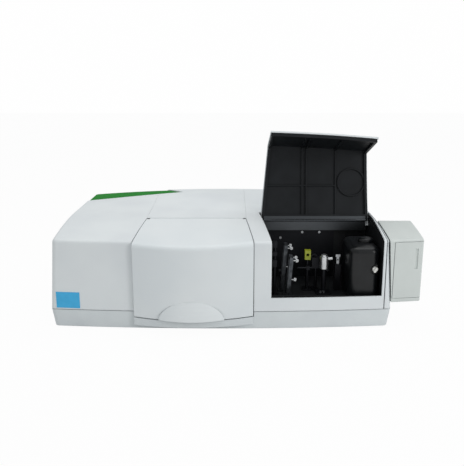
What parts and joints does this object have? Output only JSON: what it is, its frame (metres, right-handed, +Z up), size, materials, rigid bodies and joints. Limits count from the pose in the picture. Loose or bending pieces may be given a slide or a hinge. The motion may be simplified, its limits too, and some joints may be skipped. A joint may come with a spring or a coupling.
{
  "type": "spectrophotometer",
  "caption": "Wide bench spectrophotometer with a hinged sample cover, an open lidded detector bay with optics inside, and a side box over a reflectance port.",
  "frame": {"origin": "middle of the whole object's plan, on the bench", "axes": "+X to the right as seen from the front, +Y to the rear, +Z up"},
  "size_m": [1.109, 0.6874, 0.5761],
  "materials": {
    "white_casing": "fine moulded texture, off-white",
    "grey_base": "fine moulded texture, light grey",
    "green_insert": "satin green",
    "blue_plate": "plain badge film",
    "black_moulding": "matt black moulding",
    "black_anodised": "black anodised",
    "steel": "brushed",
    "bright_metal": "polished",
    "cast_aluminium": "cast and machined",
    "sheet_metal": "satin grey paint",
    "black_part": "black",
    "white_part": "white",
    "yellow_filter": "yellow-green",
    "clear_glass": "polished",
    "mirror_glass": "front-silvered",
    "rubber": "matt",
    "circuit": "solder resist",
    "connector_metal": "plated",
    "brass_fitting": "turned"
  },
  "bodies": {
    "root": {"aperture_guide": "black_anodised", "badge_plate": "blue_plate", "base_tray": "grey_base", "bay_back_plate": "black_anodised", "bay_screws": "steel", "bay_stands": "black_anodised", "beam_windows": "clear_glass", "case_hinge_leaf": "steel", "cell_carrier": "black_anodised", "cell_holders": "black_anodised", "chopper_motor": "black_part", "circuit_board": "circuit", "clamp_spring": "steel", "cover_hinge_blocks": "steel", "data_sockets": "connector_metal", "detector_bay_liner": "black_moulding", "fan_frame": "black_part", "filter_block": "yellow_filter", "fold_mirrors": "mirror_glass", "green_insert": "green_insert", "holder_stand": "black_anodised", "lamp_bases": "white_part", "lamp_bulbs": "clear_glass", "lamp_house": "sheet_metal", "left_casing": "white_casing", "lid_hinge_pin": "steel", "mains_inlet": "black_part", "mirror_adjusters": "bright_metal", "mirror_stands": "black_anodised", "monochromator_casting": "cast_aluminium", "optical_bench": "cast_aluminium", "port_box": "white_casing", "port_ring": "black_anodised", "power_supply": "sheet_metal", "purge_fittings": "brass_fitting", "rear_casing": "white_casing", "rear_panel": "sheet_metal", "relay_mirrors": "cast_aluminium", "right_casing": "white_casing", "right_end_panel": "white_casing", "rubber_feet": "rubber", "sample_bay_liner": "black_moulding", "sphere_housing": "black_moulding", "sphere_lining": "white_part"},
    "sample_cover": {"sample_cover": "white_casing"},
    "detector_lid": {"detector_lid": "white_casing", "lid_liner": "black_moulding", "lid_hinge_leaf": "steel"},
    "port_door": {"port_door": "white_casing"},
    "sample_clamp": {"sample_clamp": "steel"},
    "silver_holder": {"silver_holder": "bright_metal"},
    "port_knob": {"port_knob": "white_part"},
    "aperture_slide": {"aperture_slide": "steel"},
    "power_rocker": {"power_rocker": "black_part"},
    "lamp_mirror": {"lamp_mirror": "cast_aluminium"},
    "filter_wheel": {"filter_wheel": "cast_aluminium"},
    "front_grating": {"front_grating": "cast_aluminium"},
    "rear_grating": {"rear_grating": "cast_aluminium"},
    "chopper_wheel": {"chopper_wheel": "mirror_glass"},
    "fan_rotor": {"fan_rotor": "black_part"}
  },
  "joints": [
    {"name": "sample_cover_hinge", "type": "hinge", "parent": "root", "child": "sample_cover", "pos_m": [-0.125, -0.093, 0.29199], "axis": [-1, 0, 0], "range_deg": [0, 95]},
    {"name": "detector_lid_hinge", "type": "hinge", "parent": "root", "child": "detector_lid", "pos_m": [0.2595, -0.042, 0.27933], "axis": [1, 0, 0], "range_deg": [0, 109]},
    {"name": "port_door_hinge", "type": "hinge", "parent": "root", "child": "port_door", "pos_m": [0.472, -0.2681, 0.19], "axis": [0, 0, -1], "range_deg": [0, 90]},
    {"name": "sample_clamp_slide", "type": "slide", "parent": "root", "child": "sample_clamp", "axis": [1, 0, 0], "range_m": [0, 0.012], "stiffness_N_per_m": 300, "springref_m": -0.01, "deforming": ["clamp_spring"]},
    {"name": "silver_holder_turn", "type": "hinge", "parent": "root", "child": "silver_holder", "pos_m": [0.2735, -0.18, 0.158], "axis": [0, 0, 1], "range_deg": [-60, 60]},
    {"name": "port_knob_turn", "type": "hinge", "parent": "root", "child": "port_knob", "pos_m": [0.4165, -0.253, 0.176], "axis": [0, 1, 0], "range_deg": [0, 120]},
    {"name": "aperture_slide_lift", "type": "slide", "parent": "root", "child": "aperture_slide", "axis": [0, 0, 1], "range_m": [0, 0.025]},
    {"name": "power_rocker_tilt", "type": "hinge", "parent": "root", "child": "power_rocker", "pos_m": [0.3105, 0.3247, 0.11], "axis": [1, 0, 0], "range_deg": [0, 16]},
    {"name": "lamp_mirror_turn", "type": "hinge", "parent": "root", "child": "lamp_mirror", "pos_m": [-0.4145, 0.202, 0.15], "axis": [0, 0, 1], "range_deg": [0, 60]},
    {"name": "filter_wheel_turn", "type": "hinge", "parent": "root", "child": "filter_wheel", "pos_m": [-0.4425, 0.102, 0.19], "axis": [0, 1, 0], "continuous": true},
    {"name": "front_grating_turn", "type": "hinge", "parent": "root", "child": "front_grating", "pos_m": [-0.4275, -0.156, 0.0753], "axis": [0, 0, 1], "range_deg": [-30, 30]},
    {"name": "rear_grating_turn", "type": "hinge", "parent": "root", "child": "rear_grating", "pos_m": [-0.4275, -0.006, 0.0753], "axis": [0, 0, 1], "range_deg": [-30, 30]},
    {"name": "chopper_turn", "type": "hinge", "parent": "root", "child": "chopper_wheel", "pos_m": [-0.3145, -0.083, 0.142], "axis": [1, 0, 0], "continuous": true},
    {"name": "fan_turn", "type": "hinge", "parent": "root", "child": "fan_rotor", "pos_m": [0.2355, 0.3257, 0.2], "axis": [0, 1, 0], "continuous": true}
  ],
  "couplings": [
    {"joint": "rear_grating_turn", "follows": "front_grating_turn", "ratio": -1}
  ]
}
